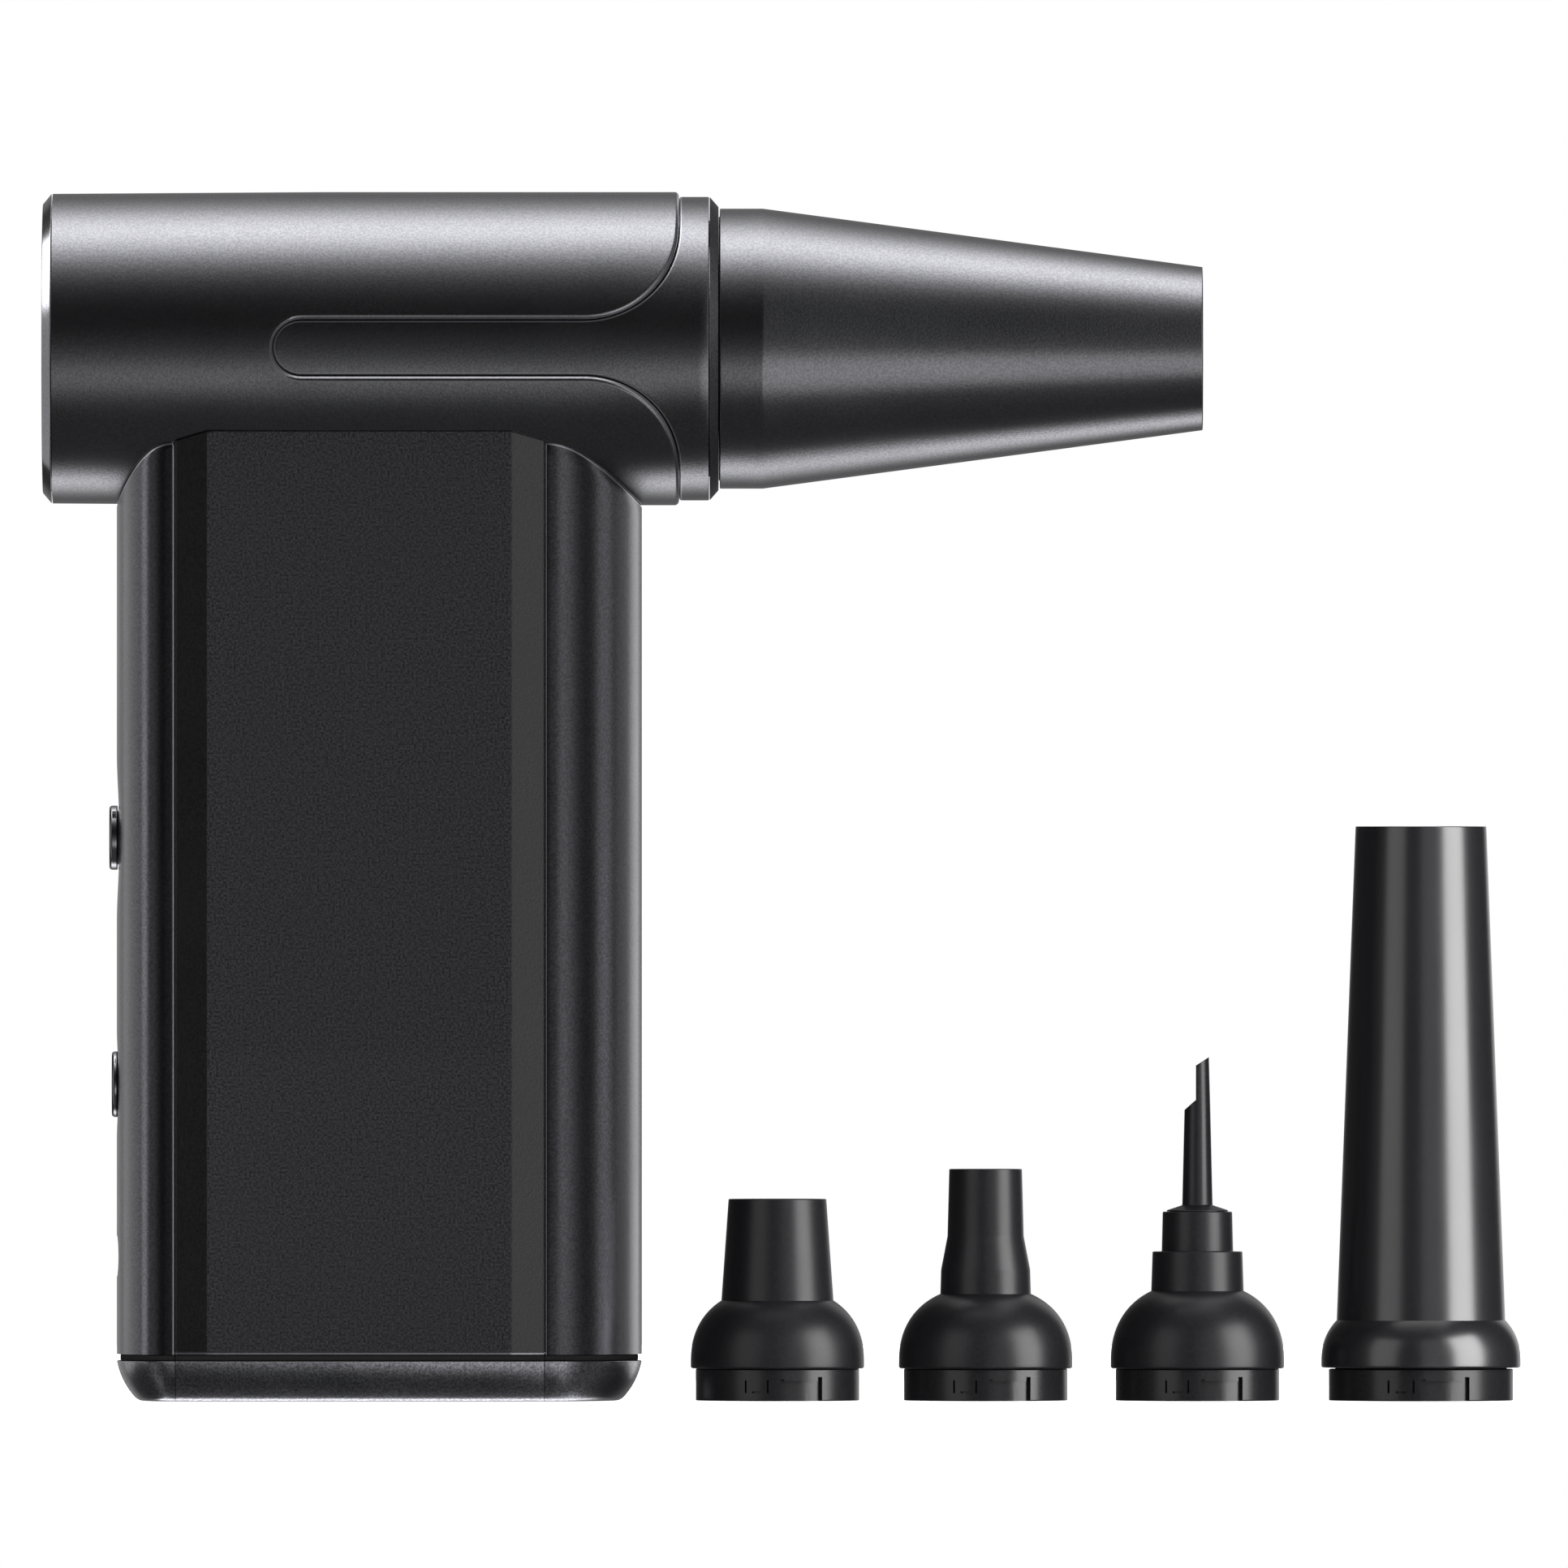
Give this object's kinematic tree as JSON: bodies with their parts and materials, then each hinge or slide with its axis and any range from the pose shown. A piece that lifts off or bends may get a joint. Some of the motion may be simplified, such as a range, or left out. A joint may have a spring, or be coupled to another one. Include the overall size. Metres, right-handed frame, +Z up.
{
  "type": "car dryer blower",
  "caption": "Cordless pistol-shaped car dryer blower with a turbo fan barrel on a battery grip, a bayonet cone nozzle and its set of spare nozzles.",
  "frame": {"origin": "centre of the grip's flat base, on the floor", "axes": "+X along the barrel towards the nozzle, +Y to the blower's left, +Z up"},
  "size_m": [0.2023, 0.0428, 0.1654],
  "materials": {
    "anodised_metal": "bead-blasted dark grey anodised",
    "polished_metal": "polished dark grey",
    "satin_grip": "satin dark grey",
    "soft_panel": "fine textured soft touch, near black",
    "gloss_black_plastic": "semi-gloss moulded black",
    "black_plastic": "moulded black",
    "chrome_trim": "bright",
    "plain_steel": "plain",
    "copper_wire": "enamelled copper",
    "circuit_board": "green solder mask",
    "cell_body": "blue sleeve over a metal can",
    "black_rubber": "matte"
  },
  "bodies": {
    "blower": {"outer_sleeve": "anodised_metal", "inner_barrel": "anodised_metal", "intake_grille": "anodised_metal", "intake_ring": "polished_metal", "collar_ring": "polished_metal", "front_grip": "satin_grip", "rear_grip": "satin_grip", "base_cap": "satin_grip", "left_panel": "soft_panel", "right_panel": "soft_panel", "guide_vane_ring": "black_plastic", "tail_cone": "black_plastic", "flow_reducer": "black_plastic", "handle_frame": "black_plastic", "lower_cell_holder": "black_plastic", "upper_cell_holder": "black_plastic", "power_switch": "black_plastic", "speed_switch": "black_plastic", "motor_can": "plain_steel", "front_bearing": "plain_steel", "rear_bearing": "plain_steel", "stator_core": "plain_steel", "charge_port": "plain_steel", "base_screw_1": "plain_steel", "base_screw_2": "plain_steel", "base_screw_3": "plain_steel", "base_screw_4": "plain_steel", "neck_screw_1": "plain_steel", "neck_screw_2": "plain_steel", "lower_cell_link": "plain_steel", "upper_cell_link": "plain_steel", "stator_windings": "copper_wire", "control_board": "circuit_board", "charge_board": "circuit_board", "driver_board": "circuit_board", "cell_1": "cell_body", "cell_2": "cell_body", "cell_3": "cell_body", "base_gasket": "black_rubber", "motor_leads": "black_rubber", "battery_leads": "black_rubber"},
    "fan": {"impeller": "black_plastic", "motor_shaft": "plain_steel", "rotor_magnet": "plain_steel"},
    "power_button": {"power_button": "black_plastic", "power_button_ring": "chrome_trim"},
    "speed_button": {"speed_button": "black_plastic", "speed_button_ring": "chrome_trim"},
    "nozzle_turn": {"outlet_seal": "black_rubber"},
    "cone_nozzle": {"cone_shell": "anodised_metal", "cone_liner": "black_plastic"},
    "wide_nozzle": {"wide_nozzle": "gloss_black_plastic", "wide_nozzle_ring": "gloss_black_plastic"},
    "round_nozzle": {"round_nozzle": "gloss_black_plastic", "round_nozzle_ring": "gloss_black_plastic"},
    "needle_nozzle": {"needle_nozzle": "gloss_black_plastic", "needle_nozzle_ring": "gloss_black_plastic", "needle_tip": "gloss_black_plastic"},
    "long_nozzle": {"long_nozzle": "gloss_black_plastic", "long_nozzle_ring": "gloss_black_plastic"}
  },
  "joints": [
    {"name": "fan_spin", "type": "hinge", "parent": "blower", "child": "fan", "pos_m": [-0.032, 0, 0.144], "axis": [1, 0, 0], "continuous": true},
    {"name": "power_press", "type": "slide", "parent": "blower", "child": "power_button", "axis": [1, 0, 0], "range_m": [0, 0.0008], "stiffness_N_per_m": 400},
    {"name": "speed_press", "type": "slide", "parent": "blower", "child": "speed_button", "axis": [1, 0, 0], "range_m": [0, 0.0008], "stiffness_N_per_m": 400},
    {"name": "nozzle_twist", "type": "hinge", "parent": "blower", "child": "nozzle_turn", "pos_m": [0.0457, 0, 0.144], "axis": [1, 0, 0], "range_deg": [-20, 0]},
    {"name": "nozzle_pull", "type": "slide", "parent": "nozzle_turn", "child": "cone_nozzle", "axis": [1, 0, 0], "range_m": [0, 0.03]},
    {"name": "wide_nozzle_lift", "type": "slide", "parent": "blower", "child": "wide_nozzle", "axis": [0, 0, 1], "range_m": [0, 0.04]},
    {"name": "round_nozzle_lift", "type": "slide", "parent": "blower", "child": "round_nozzle", "axis": [0, 0, 1], "range_m": [0, 0.04]},
    {"name": "needle_nozzle_lift", "type": "slide", "parent": "blower", "child": "needle_nozzle", "axis": [0, 0, 1], "range_m": [0, 0.04]},
    {"name": "long_nozzle_lift", "type": "slide", "parent": "blower", "child": "long_nozzle", "axis": [0, 0, 1], "range_m": [0, 0.04]}
  ]
}
